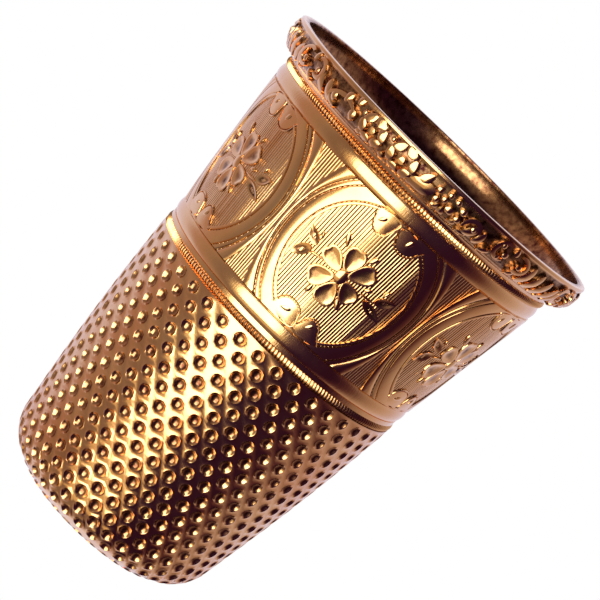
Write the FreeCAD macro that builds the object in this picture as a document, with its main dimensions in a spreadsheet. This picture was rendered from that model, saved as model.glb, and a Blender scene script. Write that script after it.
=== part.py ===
"""Gold sewing thimble, put together by a goldsmith from nine soldered pieces.

The thimble stands on its lip. The origin is the middle of the mouth, in the plane of the
lip, and +Z runs up the thimble's axis to the crown. All lengths are in millimetres.
"""
import FreeCAD, Part
import math
import os
import Sketcher

# Driving dimensions. Heights are above the plane of the lip; radii are from the axis.
SIZES = {
    # lip wire: the rounded wire that finishes the mouth
    "lip_radius": 9.30,
    "lip_width": 0.45,
    "lip_height": 0.15,
    "lip_rounding": 0.065,
    # flared collar, chased all over, with a plain fillet at its top
    "collar_foot_radius": 9.28,
    "collar_neck_radius": 8.42,
    "collar_thickness": 0.23,
    "collar_curve": 1.40,
    "neck_height": 1.65,
    "collar_top": 1.78,
    # milled wire and half-round bead at the rim
    "rim_wire_top": 2.12,
    "rim_wire_edge": 8.36,
    "rim_wire_curve": 0.22,
    "rim_bead_top": 2.92,
    "rim_bead_edge": 8.30,
    "rim_bead_curve": 0.73,
    # engraved band
    "band_foot_radius": 8.37,
    "band_head_radius": 7.46,
    "band_top": 10.03,
    # half-round bead, plain fillet and milled wire at the waist
    "waist_bead_top": 10.85,
    "waist_bead_edge": 7.33,
    "waist_bead_curve": 0.72,
    "waist_fillet_top": 11.09,
    "waist_fillet_radius": 7.37,
    "waist_wire_top": 11.48,
    "waist_wire_edge": 7.35,
    "waist_wire_curve": 0.28,
    # tapered tube: its outside under the rings, its dimpled outside, and its bore
    "seat_neck_radius": 8.24,
    "seat_taper": 0.1268,
    "wall_foot_radius": 7.41,
    "wall_head_radius": 6.23,
    "wall_curve": 125.0,
    "wall_top": 21.58,
    "bore_neck_radius": 7.90,
    "bore_head_radius": 5.56,
    # crown cap: a domed disc with a turned-down edge
    "total_height": 25.05,
    "cap_thickness": 0.60,
    "cap_edge_radius": 5.81,
    "cap_edge_height": 24.42,
    "dome_radius": 26.0,
    "shoulder_rounding": 2.2,
    "inner_rounding": 1.6,
}
CLEAR_VOLUME = 1e-4
HAIR = 1e-4
MOST_PARTS = 60


class Length:
    """A length that carries its value and the spreadsheet formula that gives it."""

    def __init__(self, value, formula):
        self.value = value
        self.formula = formula

    def __add__(self, other):
        return Length(self.value + other.value, f"({self.formula} + {other.formula})")

    def __sub__(self, other):
        return Length(self.value - other.value, f"({self.formula} - {other.formula})")

    def __mul__(self, other):
        return Length(self.value * other.value, f"({self.formula} * {other.formula})")


class Corner:
    """A corner of an outline, and the radius of the arc that leads to it from the last one.

    An arc bulges out of the solid, or into it where it is hollow.
    """

    def __init__(self, radius, height, arc=None, hollow=False):
        self.radius = radius
        self.height = height
        self.arc = arc
        self.hollow = hollow

    def vector(self):
        return FreeCAD.Vector(self.radius.value, self.height.value, 0)


doc = FreeCAD.newDocument("Thimble")
sheet = doc.addObject("Spreadsheet::Sheet", "Sizes")
for row, (name, number) in enumerate(SIZES.items(), start=1):
    sheet.set(f"A{row}", name)
    sheet.set(f"B{row}", str(number))
    sheet.setAlias(f"B{row}", name)
doc.recompute()

size = {name: Length(number, f"Sizes.{name}") for name, number in SIZES.items()}
NOTHING = Length(0.0, "0")


def origin_plane(body, role):
    """Return the origin plane of a body with this role."""
    for feature in body.Origin.OriginFeatures:
        if feature.Role == role:
            return feature
    raise ValueError(f"no plane {role}")


def bind(sketch, kind, places, length, name):
    """Add a dimension to a sketch and bind it to the spreadsheet."""
    index = sketch.addConstraint(Sketcher.Constraint(kind, *places, length.value))
    sketch.renameConstraint(index, name)
    sketch.setExpression(f"Constraints.{name}", length.formula)


def pin(sketch, edge, end, corner, name):
    """Fix one end of an edge at a corner's radius and height."""
    if corner.radius.value == 0:
        sketch.addConstraint(Sketcher.Constraint("PointOnObject", edge, end, -2))
    else:
        bind(sketch, "DistanceX", (-1, 1, edge, end), corner.radius, f"{name}_radius")
    if corner.height.value == 0:
        sketch.addConstraint(Sketcher.Constraint("PointOnObject", edge, end, -1))
    else:
        bind(sketch, "DistanceY", (-1, 1, edge, end), corner.height, f"{name}_height")


def arc_between(first, last, radius, hollow):
    """Return the arc between two corners. A hollow one starts at the last of them."""
    start, end = (last, first) if hollow else (first, last)
    chord = end - start
    middle = (start + end) * 0.5
    rise = math.sqrt(radius ** 2 - (chord.Length / 2) ** 2)
    across = FreeCAD.Vector(-chord.y, chord.x, 0).normalize()
    centre = middle + across * rise
    from_angle = math.atan2(start.y - centre.y, start.x - centre.x)
    to_angle = math.atan2(end.y - centre.y, end.x - centre.x)
    circle = Part.Circle(centre, FreeCAD.Vector(0, 0, 1), radius)
    return Part.ArcOfCircle(circle, from_angle, to_angle)


def turned(label, outline):
    """Return a body turned about the axis from an outline that runs anticlockwise."""
    body = doc.addObject("PartDesign::Body", label)
    body.Label = label
    sketch = body.newObject("Sketcher::SketchObject", f"{label}_outline")
    sketch.AttachmentSupport = (origin_plane(body, "XZ_Plane"), [""])
    sketch.MapMode = "FlatFace"
    starts = []
    ends = []
    for index, corner in enumerate(outline):
        last = outline[index - 1]
        if corner.arc is None:
            edge = sketch.addGeometry(Part.LineSegment(last.vector(), corner.vector()))
        else:
            arc = arc_between(last.vector(), corner.vector(), corner.arc.value, corner.hollow)
            edge = sketch.addGeometry(arc)
        backwards = corner.hollow
        starts.append((edge, 2 if backwards else 1))
        ends.append((edge, 1 if backwards else 2))
    for index, corner in enumerate(outline):
        following = (index + 1) % len(outline)
        joint = Sketcher.Constraint("Coincident", *ends[index], *starts[following])
        sketch.addConstraint(joint)
        pin(sketch, *ends[index], corner, f"corner{index}")
        if corner.arc is not None:
            bind(sketch, "Radius", (ends[index][0],), corner.arc, f"curve{index}")
    solid = body.newObject("PartDesign::Revolution", f"{label}_turned")
    solid.Profile = sketch
    solid.ReferenceAxis = (sketch, ["V_Axis"])
    solid.Angle = 360.0
    body.Tip = solid
    doc.recompute()
    return body


def rounded_edge(body, name, radius, height):
    """Round the circular edge at a height, where a dome meets its skirt."""
    base = body.Tip
    rims = []
    for number, edge in enumerate(base.Shape.Edges, start=1):
        if edge.Degenerated or not isinstance(edge.Curve, Part.Circle):
            continue
        if edge.isClosed() and abs(edge.Curve.Center.z - height.value) < HAIR:
            rims.append(f"Edge{number}")
    fillet = body.newObject("PartDesign::Fillet", name)
    fillet.Base = (base, rims)
    fillet.Radius = radius.value
    fillet.setExpression("Radius", radius.formula)
    body.Tip = fillet
    doc.recompute()


def seat(height):
    """Return the radius of the tube's outside, under the rings, at a height."""
    return size["seat_neck_radius"] - size["seat_taper"] * (height - size["neck_height"])


def make_lip_wire():
    outer = size["lip_radius"]
    inner = outer - size["lip_width"]
    rounding = size["lip_rounding"]
    return turned("lip_wire", [
        Corner(inner + rounding, NOTHING, arc=rounding),
        Corner(outer - rounding, NOTHING),
        Corner(outer, rounding, arc=rounding),
        Corner(outer, size["lip_height"]),
        Corner(inner, size["lip_height"]),
        Corner(inner, rounding),
    ])


def make_rim_collar():
    foot = size["collar_foot_radius"]
    neck = size["collar_neck_radius"]
    under = size["collar_curve"] - size["collar_thickness"]
    return turned("rim_collar", [
        Corner(foot - size["collar_thickness"], size["lip_height"], arc=under, hollow=True),
        Corner(foot, size["lip_height"]),
        Corner(neck, size["neck_height"], arc=size["collar_curve"]),
        Corner(neck, size["collar_top"]),
        Corner(seat(size["collar_top"]), size["collar_top"]),
        Corner(size["seat_neck_radius"], size["neck_height"]),
    ])


def make_ring(label, bottom, top, edge, curve):
    """Return a wire of half-round section, soldered round the tube."""
    return turned(label, [
        Corner(seat(bottom), bottom),
        Corner(edge, bottom),
        Corner(edge, top, arc=curve),
        Corner(seat(top), top),
    ])


def make_engraved_band():
    bottom = size["rim_bead_top"]
    top = size["band_top"]
    return turned("engraved_band", [
        Corner(seat(bottom), bottom),
        Corner(size["band_foot_radius"], bottom),
        Corner(size["band_head_radius"], top),
        Corner(seat(top), top),
    ])


def make_waist_bead():
    """Return the half-round bead with the narrow plain fillet beside it."""
    bottom = size["band_top"]
    shelf = size["waist_bead_top"]
    top = size["waist_fillet_top"]
    return turned("waist_bead", [
        Corner(seat(bottom), bottom),
        Corner(size["waist_bead_edge"], bottom),
        Corner(size["waist_bead_edge"], shelf, arc=size["waist_bead_curve"]),
        Corner(size["waist_fillet_radius"], shelf),
        Corner(size["waist_fillet_radius"], top),
        Corner(seat(top), top),
    ])


def make_thimble_body():
    """Return the tapered tube, flared at the mouth, with its thick dimpled part."""
    collar_foot = size["collar_foot_radius"] - size["collar_thickness"]
    under_collar = size["collar_curve"] - size["collar_thickness"]
    mouth = size["lip_radius"] - size["lip_width"]
    step = size["waist_wire_top"]
    return turned("thimble_body", [
        Corner(mouth, size["lip_height"], arc=size["collar_curve"], hollow=True),
        Corner(collar_foot, size["lip_height"]),
        Corner(size["seat_neck_radius"], size["neck_height"], arc=under_collar),
        Corner(seat(step), step),
        Corner(size["wall_foot_radius"], step),
        Corner(size["wall_head_radius"], size["wall_top"], arc=size["wall_curve"]),
        Corner(size["bore_head_radius"], size["wall_top"]),
        Corner(size["bore_neck_radius"], size["neck_height"]),
    ])


def make_crown_cap():
    """Return the domed end, whose edge turns down to meet the tube's top end."""
    top = size["total_height"]
    edge = size["cap_edge_radius"]
    height = size["cap_edge_height"]
    thick = size["cap_thickness"]
    body = turned("crown_cap", [
        Corner(size["bore_head_radius"], size["wall_top"]),
        Corner(size["wall_head_radius"], size["wall_top"]),
        Corner(edge, height),
        Corner(NOTHING, top, arc=size["dome_radius"]),
        Corner(NOTHING, top - thick),
        Corner(edge - thick, height - thick, arc=size["dome_radius"], hollow=True),
    ])
    rounded_edge(body, "shoulder", size["shoulder_rounding"], height)
    rounded_edge(body, "inner_corner", size["inner_rounding"], height - thick)
    return body


parts = [
    make_lip_wire(),
    make_rim_collar(),
    make_ring("rim_milled_wire", size["collar_top"], size["rim_wire_top"],
              size["rim_wire_edge"], size["rim_wire_curve"]),
    make_ring("rim_bead", size["rim_wire_top"], size["rim_bead_top"],
              size["rim_bead_edge"], size["rim_bead_curve"]),
    make_engraved_band(),
    make_waist_bead(),
    make_ring("waist_milled_wire", size["waist_fillet_top"], size["waist_wire_top"],
              size["waist_wire_edge"], size["waist_wire_curve"]),
    make_thimble_body(),
    make_crown_cap(),
]
doc.recompute()

# Nothing is written until every object has been computed and every piece is one sound solid.
for thing in doc.Objects:
    if "Invalid" in thing.State or "Error" in thing.State:
        raise RuntimeError(f"{thing.Label} has failed: {thing.State}")
for part in parts:
    if part.Shape.isNull() or not part.Shape.isValid() or len(part.Shape.Solids) != 1:
        raise RuntimeError(f"{part.Label} isn't one sound solid")
for index, part in enumerate(parts):
    for other in parts[index + 1:]:
        if part.Shape.common(other.Shape).Volume > CLEAR_VOLUME:
            raise RuntimeError(f"{part.Label} overlaps {other.Label}")
if len(parts) > MOST_PARTS:
    raise RuntimeError("there are too many pieces")

os.makedirs("parts", exist_ok=True)
for part in parts:
    part.Shape.exportStep(f"parts/{part.Label}.step")
    box = part.Shape.optimalBoundingBox()
    print(f"{part.Label}: {part.Shape.Volume:.2f} mm3, radius {box.XMax:.2f} mm, "
          f"from {box.ZMin:.2f} to {box.ZMax:.2f} mm")
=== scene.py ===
"""Gold thimble: the looks of each piece, the floor, the light and the camera.

Everything is in metres. The thimble stands on its lip: the origin is the middle of the mouth and
+Z runs up to the crown. A turn is an angle about +Z measured from -Y, towards -X.
"""
import math
import random
import bmesh
import bpy
from mathutils import Matrix, Vector, noise


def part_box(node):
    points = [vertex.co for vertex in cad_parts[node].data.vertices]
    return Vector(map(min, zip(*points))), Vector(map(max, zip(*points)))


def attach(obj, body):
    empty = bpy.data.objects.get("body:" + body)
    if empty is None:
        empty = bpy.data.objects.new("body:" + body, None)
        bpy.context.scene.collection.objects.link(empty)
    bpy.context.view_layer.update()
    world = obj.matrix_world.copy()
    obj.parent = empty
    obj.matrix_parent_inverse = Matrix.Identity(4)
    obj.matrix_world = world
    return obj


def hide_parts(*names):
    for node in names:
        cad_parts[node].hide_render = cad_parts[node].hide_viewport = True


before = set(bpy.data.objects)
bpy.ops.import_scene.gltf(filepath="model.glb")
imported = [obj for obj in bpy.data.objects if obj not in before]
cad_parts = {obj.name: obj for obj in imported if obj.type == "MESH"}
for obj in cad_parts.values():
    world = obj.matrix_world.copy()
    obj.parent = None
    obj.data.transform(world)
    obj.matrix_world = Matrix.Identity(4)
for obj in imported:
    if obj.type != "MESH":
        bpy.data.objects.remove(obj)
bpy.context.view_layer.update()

MM = 0.001
FULL = 2 * math.pi
UP = Vector((0, 0, 1))
CHANCE = random.Random(11)


# ---------------------------------------------------------------- sizes

def lowest(node):
    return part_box(node)[0].z


def highest(node):
    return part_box(node)[1].z


DIMPLES_ROUND = 41
ROW_PITCH = 0.713 * MM
FIRST_ROW = 11.95 * MM
WALL_ROWS = 14
CAP_ROWS = 4
DIMPLE_TURN = math.radians(-5.5)
COLUMN_STEPS = 4

COLLAR_TOP = highest("rim_collar")
RIM_WIRE_TOP = highest("rim_milled_wire")
RIM_BEAD_TOP = highest("rim_bead")
BAND_TOP = highest("engraved_band")
WAIST_SHELF = 10.85 * MM        # where the plain fillet beside the waist bead begins
WAIST_BEAD_TOP = highest("waist_bead")
WALL_FOOT = highest("waist_milled_wire")
WALL_TOP = highest("thimble_body")
HEIGHT = highest("crown_cap")
LIP_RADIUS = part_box("lip_wire")[1].x
LIP_WIDTH = 0.45 * MM
LIP_ROUNDING = 0.065 * MM
WALL_TOP_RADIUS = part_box("crown_cap")[1].x
BAND_FOOT_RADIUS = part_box("engraved_band")[1].x
BAND_HEAD_RADIUS = 7.46 * MM
WALL_FOOT_RADIUS = 7.41 * MM
WALL_CURVE = 125.0 * MM
CONE_LEAN = math.atan2(0.42, 2.84)
SHOULDER = 2.2 * MM
DOME = 26.0 * MM
CROWN_RIM = 24.0 * MM           # open edges above this are the top rim of the rows
CROWN_THICKNESS = 0.6 * MM
CROWN_PROFILE = 4.35 * MM       # how much longer the crown's profile is than it is tall
SEAT_HEAD = (6.99 * MM, WALL_FOOT)      # the tube's outside under the band, and its bore
SEAT_FOOT = (8.22 * MM, 1.65 * MM)
BORE_FOOT = (7.90 * MM, 1.65 * MM)
BORE_TOP = (5.56 * MM, WALL_TOP)
FLARE_OUTSIDE = (9.05 * MM, lowest("thimble_body"))
FLARE_INSIDE = (8.85 * MM, lowest("thimble_body"))
SEAT_CURVE = 1.17 * MM
BORE_CURVE = 1.4 * MM
WIRE_DEPTH = 0.35 * MM          # how far a wire reaches in behind its edge
RIM_WIRE = (8.36 * MM, 0.22 * MM)       # radius of each wire's edges, and of its rounded face
RIM_BEAD = (8.30 * MM, 0.73 * MM)
WAIST_BEAD = (7.33 * MM, 0.72 * MM)
WAIST_WIRE = (7.35 * MM, 0.28 * MM)
WAIST_SHELF_RADIUS = 7.37 * MM
ROUND_STEPS = 240
WELD = 0.0004 * MM


# ---------------------------------------------------------------- materials

def linear(hex_colour):
    """Turn an sRGB hex colour to the linear values that shader sockets take."""
    parts = [int(hex_colour[i:i + 2], 16) / 255 for i in (1, 3, 5)]
    return [p / 12.92 if p <= 0.04045 else ((p + 0.055) / 1.055) ** 2.4 for p in parts] + [1.0]


def add_node(tree, kind, inputs=None, stops=None, **settings):
    """Add a node, set its properties and colour stops, and link or set its inputs."""
    node = tree.nodes.new(kind)
    for name, value in settings.items():
        if hasattr(node, name):
            setattr(node, name, value)
        else:
            node.inputs[name.replace("_", " ")].default_value = value
    for name, source in (inputs or {}).items():
        if isinstance(source, bpy.types.NodeSocket):
            tree.links.new(source, node.inputs[name])
        else:
            node.inputs[name].default_value = source
    if stops:
        ramp = node.color_ramp
        while len(ramp.elements) < len(stops):
            ramp.elements.new(0.5)
        for element, (position, colour) in zip(ramp.elements, stops):
            element.position = position
            element.color = colour
    return node


def gold_alloy(name, clean, worn, recess_shade, roughness, dulling, marks, grain, dents):
    """Make a gold: clean and worn colours in patches, painted darker towards a shade colour and
    made duller where a point lies deep.

    marks is the depth of the fine tool marks and grain how closely they lie round the axis and
    up it. dents is the depth of the soft unevenness of thin metal. All are in millimetres.
    """
    material = bpy.data.materials.new(name)
    material.use_nodes = True
    tree = material.node_tree
    shader = tree.nodes["Principled BSDF"]
    place = add_node(tree, "ShaderNodeTexCoord").outputs["Object"]
    scaled = add_node(tree, "ShaderNodeVectorMath", {0: place}, operation="SCALE", Scale=1 / MM)
    parts = add_node(tree, "ShaderNodeSeparateXYZ", {0: scaled.outputs[0]}).outputs
    turn = add_node(tree, "ShaderNodeMath", {0: parts["X"], 1: parts["Y"]}, operation="ARCTAN2")
    lathe = add_node(tree, "ShaderNodeCombineXYZ", {"X": turn.outputs[0], "Y": parts["Z"]})

    patches = add_node(tree, "ShaderNodeTexNoise", {"Vector": scaled.outputs[0]},
                       Scale=1 / PATCH_SIZE, Detail=5.0, Roughness=0.6)
    patched = add_node(tree, "ShaderNodeValToRGB", {"Fac": patches.outputs["Fac"]},
                       stops=[(0.35, linear(clean)), (0.68, linear(worn))])
    # painted shade: the recess depth, broken up by noise, darkens the colour towards the shade
    # colour and raises the roughness
    recess = add_node(tree, "ShaderNodeAttribute", attribute_name="recess").outputs["Fac"]
    shade_breakup = add_node(tree, "ShaderNodeTexNoise", {"Vector": scaled.outputs[0]},
                     Scale=1 / SHADE_BREAKUP_SIZE, Detail=4.0, Roughness=0.65)
    broken_shade = add_node(tree, "ShaderNodeMath", {0: recess, 1: shade_breakup.outputs["Fac"]},
                      operation="MULTIPLY")
    depth = add_node(tree, "ShaderNodeMapRange", {"Value": broken_shade.outputs[0]},
                     From_Min=0.12, From_Max=0.62)
    colour = add_node(tree, "ShaderNodeMix", {
        "Factor": depth.outputs[0], "A": patched.outputs["Color"], "B": linear(recess_shade)},
        data_type="RGBA")
    tree.links.new(colour.outputs["Result"], shader.inputs["Base Color"])

    smears = add_node(tree, "ShaderNodeTexNoise", {"Vector": scaled.outputs[0]},
                      Scale=1 / SMEAR_SIZE, Detail=6.0, Roughness=0.7)
    smeared = add_node(tree, "ShaderNodeMapRange", {"Value": smears.outputs["Fac"]},
                       From_Min=0.3, From_Max=0.75, To_Min=roughness, To_Max=roughness * 1.7)
    dulled = add_node(tree, "ShaderNodeMath", {0: depth.outputs[0], 1: dulling,
                                               2: smeared.outputs[0]}, operation="MULTIPLY_ADD")
    tree.links.new(dulled.outputs[0], shader.inputs["Roughness"])

    stretch = add_node(tree, "ShaderNodeMapping", {"Vector": lathe.outputs[0]},
                       Scale=(MEAN_RADIUS / grain[0], 1 / grain[1], 1.0))
    turned = add_node(tree, "ShaderNodeTexNoise", {"Vector": stretch.outputs[0]},
                      Scale=1.0, Detail=3.0, Roughness=0.7)
    slanted = add_node(tree, "ShaderNodeMapping", {"Vector": scaled.outputs[0]},
                       Rotation=(0.5, 0.9, 0.7), Scale=(0.25, 1 / SCRATCH_GAP, 0.25))
    scratched = add_node(tree, "ShaderNodeTexNoise", {"Vector": slanted.outputs[0]},
                         Scale=1.0, Detail=2.0, Roughness=0.6)
    scratch = add_node(tree, "ShaderNodeMapRange", {"Value": scratched.outputs["Fac"]},
                       From_Min=0.60, From_Max=0.72)
    uneven = add_node(tree, "ShaderNodeTexNoise", {"Vector": scaled.outputs[0]},
                      Scale=1 / DENT_SIZE, Detail=2.0, Roughness=0.5)
    dented = add_node(tree, "ShaderNodeBump", {"Height": uneven.outputs["Fac"]},
                      Strength=1.0, Distance=dents * MM)
    marked = add_node(tree, "ShaderNodeBump", {"Height": turned.outputs["Fac"],
                                               "Normal": dented.outputs[0]},
                      Strength=1.0, Distance=marks * MM)
    scored = add_node(tree, "ShaderNodeBump", {"Height": scratch.outputs[0],
                                               "Normal": marked.outputs[0]},
                      Strength=1.0, Distance=SCRATCH_DEPTH * MM, invert=True)
    tree.links.new(scored.outputs[0], shader.inputs["Normal"])
    shader.inputs["Metallic"].default_value = 1.0
    return material


# sizes of the patterns in the metal, in millimetres
MEAN_RADIUS = 8.0
PATCH_SIZE = 4.0
# size of the noise that breaks up the painted shade in recesses
SHADE_BREAKUP_SIZE = 0.35
SMEAR_SIZE = 1.2
ROUND_MARKS = (4.0, 0.07)   # length and pitch. Real tool marks are finer: this just shows
CROSS_MARKS = (0.08, 1.5)   # pitch and length of marks that run across a wire
SCRATCH_GAP = 0.16          # drawn wider apart and wider than real hairlines, so that they show
SCRATCH_DEPTH = 0.0010
DENT_SIZE = 0.9


def polished_gold():
    """Burnished 15 carat gold of the drawn wires and beads.

    It mirrors the lights in clear bands, with soft ends where the burnisher ran across.
    """
    # the third colour is painted shade, in the gaps between the teeth and on the lip's inner side
    return gold_alloy("burnished_15ct_gold", "#F6CC96", "#EAB67C", "#6E3526", roughness=0.11,
                      dulling=0.15, marks=0.0030, grain=CROSS_MARKS, dents=0.004)


def chased_gold():
    """Chased 15 carat gold of the collar.

    The relief keeps the clean colour, and the ground between it is painted dark brown as shade.
    """
    return gold_alloy("chased_15ct_gold", "#F6CC96", "#E6AE7C", "#3C1A1C", roughness=0.10,
                      dulling=0.22, marks=0.0006, grain=ROUND_MARKS, dents=0.010)


def engraved_gold():
    """Bright-cut 15 carat gold of the engraved band.

    The frames and petals flash, and the cut lines of the ruled ground and the sunk lines of the
    frames are painted darker as shade.
    """
    return gold_alloy("bright_cut_15ct_gold", "#F8D09A", "#EAB47A", "#542A20", roughness=0.10,
                      dulling=0.15, marks=0.0004, grain=ROUND_MARKS, dents=0.006)


def dimpled_gold():
    """Knurled 15 carat gold of the tube and crown.

    Each dimple is a small mirror, painted darker as shade and made duller towards its bottom; the
    lands between keep the clean colour.
    """
    return gold_alloy("knurled_15ct_gold", "#F4C892", "#E4AA78", "#5E2C24", roughness=0.12,
                      dulling=0.06, marks=0.0008, grain=ROUND_MARKS, dents=0.006)


# ---------------------------------------------------------------- shaping

def at(radius, turn, height):
    """Return the point at a radius, a turn and a height."""
    return Vector((-radius * math.sin(turn), -radius * math.cos(turn), height))


def turn_of(point):
    return math.atan2(-point.x, -point.y)


def radius_of(point):
    return math.hypot(point.x, point.y)


def arc_centre(start, end, radius):
    """Return the centre of an arc from start to end that bulges to the right of the way there."""
    chord = Vector(end) - Vector(start)
    across = Vector((-chord.y, chord.x)).normalized()
    middle = Vector(start) + chord / 2
    return middle + across * math.sqrt(radius ** 2 - (chord.length / 2) ** 2)


def arc_points(start, end, radius, count):
    """Return points from start to end along such an arc."""
    centre = arc_centre(start, end, radius)
    first = math.atan2(start[1] - centre.y, start[0] - centre.x)
    last = math.atan2(end[1] - centre.y, end[0] - centre.x)
    if last < first:
        last += FULL
    angles = [first + (last - first) * i / count for i in range(count + 1)]
    return [(centre.x + radius * math.cos(a), centre.y + radius * math.sin(a)) for a in angles]


WALL_CENTRE = arc_centre((WALL_FOOT_RADIUS, WALL_FOOT), (WALL_TOP_RADIUS, WALL_TOP), WALL_CURVE)


def wall_radius(height):
    """Return the radius of the gently curved dimpled wall at a height."""
    return WALL_CENTRE.x + math.sqrt(WALL_CURVE ** 2 - (height - WALL_CENTRE.y) ** 2)


def cap_profile():
    """Return the cap's cone, shoulder and dome as the numbers that place them."""
    edge = Vector((WALL_TOP_RADIUS, WALL_TOP))
    lean = CONE_LEAN
    dome_centre = HEIGHT - DOME
    # the shoulder's centre is one rounding inside the cone and inside the dome
    low, high = 0.0, 4.0 * MM
    for _ in range(60):
        along = (low + high) / 2
        spot = edge + along * Vector((-math.sin(lean), math.cos(lean)))
        centre = spot - SHOULDER * Vector((math.cos(lean), math.sin(lean)))
        inside = math.hypot(centre.x, centre.y - dome_centre) < DOME - SHOULDER
        low, high = (along, high) if inside else (low, along)
    end = math.atan2(centre.y - dome_centre, centre.x)
    return edge, lean, along, centre, end, dome_centre


CAP = cap_profile()


def cap_point(length):
    """Return the radius and height of the cap's outside, and its slope, along its profile."""
    edge, lean, cone, centre, end, dome_centre = CAP
    if length < cone:
        spot = edge + length * Vector((-math.sin(lean), math.cos(lean)))
        return spot.x, spot.y, lean
    angle = lean + (length - cone) / SHOULDER
    if angle < end:
        return centre.x + SHOULDER * math.cos(angle), centre.y + SHOULDER * math.sin(angle), angle
    angle = end + (length - cone - (end - lean) * SHOULDER) / DOME
    return DOME * math.cos(angle), dome_centre + DOME * math.sin(angle), angle


def skin(length):
    """Return radius, height and slope of the dimpled skin, from the wall's foot over the crown."""
    height = FIRST_ROW - ROW_PITCH / 2 + length
    if height <= WALL_TOP:
        ahead = wall_radius(height + 0.1 * MM) - wall_radius(height)
        return wall_radius(height), height, math.atan2(-ahead, 0.1 * MM)
    return cap_point(height - WALL_TOP)


def on_skin(length, turn, lift=0.0):
    """Return the point of the dimpled skin at a length up its profile and a turn."""
    radius, height, slope = skin(length)
    return at(radius + lift * math.cos(slope), turn, height + lift * math.sin(slope))


def line_of(bm, points):
    """Add a chain of vertices joined by edges."""
    verts = [bm.verts.new(p) for p in points]
    return verts, [bm.edges.new(pair) for pair in zip(verts, verts[1:])]


def spun(bm, points, steps, closed=True):
    """Spin an outline of radius and height pairs about the axis, a quarter turn at a time."""
    verts, edges = line_of(bm, [at(r, 0, z) for r, z in points])
    if closed:
        edges.append(bm.edges.new((verts[-1], verts[0])))
    known = set(bm.verts) - set(verts)
    bmesh.ops.spin(bm, geom=verts + edges, cent=(0, 0, 0), axis=UP, angle=FULL / 4,
                   steps=steps // 4)
    fresh = [v for v in bm.verts if v not in known]
    quarter = fresh + list({e for v in fresh for e in v.link_edges})
    quarter += list({f for v in fresh for f in v.link_faces})
    bmesh.ops.spin(bm, geom=quarter, cent=(0, 0, 0), axis=UP, angle=FULL * 3 / 4, steps=3,
                   use_duplicate=True)
    bmesh.ops.remove_doubles(bm, verts=[v for v in bm.verts if v not in known], dist=WELD)


def carried_on(bm, edges):
    """Extrude a ring of edges, and return the new ring's edges and vertices."""
    grown = bmesh.ops.extrude_edge_only(bm, edges=edges)["geom"]
    verts = [item for item in grown if isinstance(item, bmesh.types.BMVert)]
    fresh = set(verts)
    return [item for item in grown
            if isinstance(item, bmesh.types.BMEdge) and fresh.issuperset(item.verts)], verts


def make_piece(bm, name, material, node, recess_shade=None, crease=math.radians(40)):
    """Turn a finished bmesh into a piece that stands for a CAD node.

    The depth function says how deep a point lies, from 0 at the face to 1; stored as the recess
    attribute, it sets the painted shade and the dullness.
    """
    bmesh.ops.remove_doubles(bm, verts=bm.verts, dist=WELD)
    bmesh.ops.recalc_face_normals(bm, faces=bm.faces)
    for face in bm.faces:
        face.smooth = True
    for edge in bm.edges:
        edge.smooth = edge.smooth and edge.calc_face_angle(0.0) < crease
    depths = [recess_shade(vert.co) if recess_shade else 0.0 for vert in bm.verts]
    mesh = bpy.data.meshes.new(name)
    bm.to_mesh(mesh)
    bm.free()
    recess = mesh.attributes.new("recess", "FLOAT", "POINT")
    recess.data.foreach_set("value", [min(1.0, max(0.0, depth)) for depth in depths])
    piece = bpy.data.objects.new(name, mesh)
    bpy.context.scene.collection.objects.link(piece)
    mesh.materials.append(material)
    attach(piece, "root")
    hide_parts(node)


# ---------------------------------------------------------------- dimples

DIMPLE_RINGS = [        # radius and lift of each ring of a dimple, from the rim to the bottom
    (0.375, 0.000),
    (0.330, 0.012),
    (0.290, -0.020),
    (0.238, -0.105),
    (0.130, -0.152),
]
DIMPLE_FLOOR = -0.165
WANDER = 0.012 * MM      # how far a dimple may stray from its even place
INNER_SHADE_AND_DULLING = 0.9             # how much painted shade the smooth inside gets, and how dull it is


def sink_dimples(bm, cells, places):
    """Inset each cell and push it in as a round dimple. A place is a middle and three axes."""
    plans = []
    for cell, (middle, across, along, out) in zip(cells, places):
        middle = middle + (across * CHANCE.uniform(-1, 1) + along * CHANCE.uniform(-1, 1)) * WANDER
        spokes = []
        for vert in cell.verts:
            spoke = vert.co - middle
            spokes.append((spoke - out * spoke.dot(out)).normalized())
        evened = [(spokes[k - 1] + spokes[k] * 2 + spokes[(k + 1) % len(spokes)]).normalized()
                  for k in range(len(spokes))]
        plans.append((cell, middle, out, evened, CHANCE.uniform(0.96, 1.04)))
    for radius, lift in DIMPLE_RINGS:
        bmesh.ops.inset_individual(bm, faces=cells, thickness=0.004 * MM)
        for cell, middle, out, spokes, size in plans:
            for vert, spoke in zip(cell.verts, spokes):
                vert.co = middle + (spoke * radius + out * lift) * size * MM
    floors = {cell.verts[0]: middle + out * DIMPLE_FLOOR * size * MM
              for cell, middle, out, spokes, size in plans}
    for pole in bmesh.ops.poke(bm, faces=cells)["verts"]:
        ring = [edge.other_vert(pole) for edge in pole.link_edges]
        pole.co = next(floors[vert] for vert in ring if vert in floors)


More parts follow.
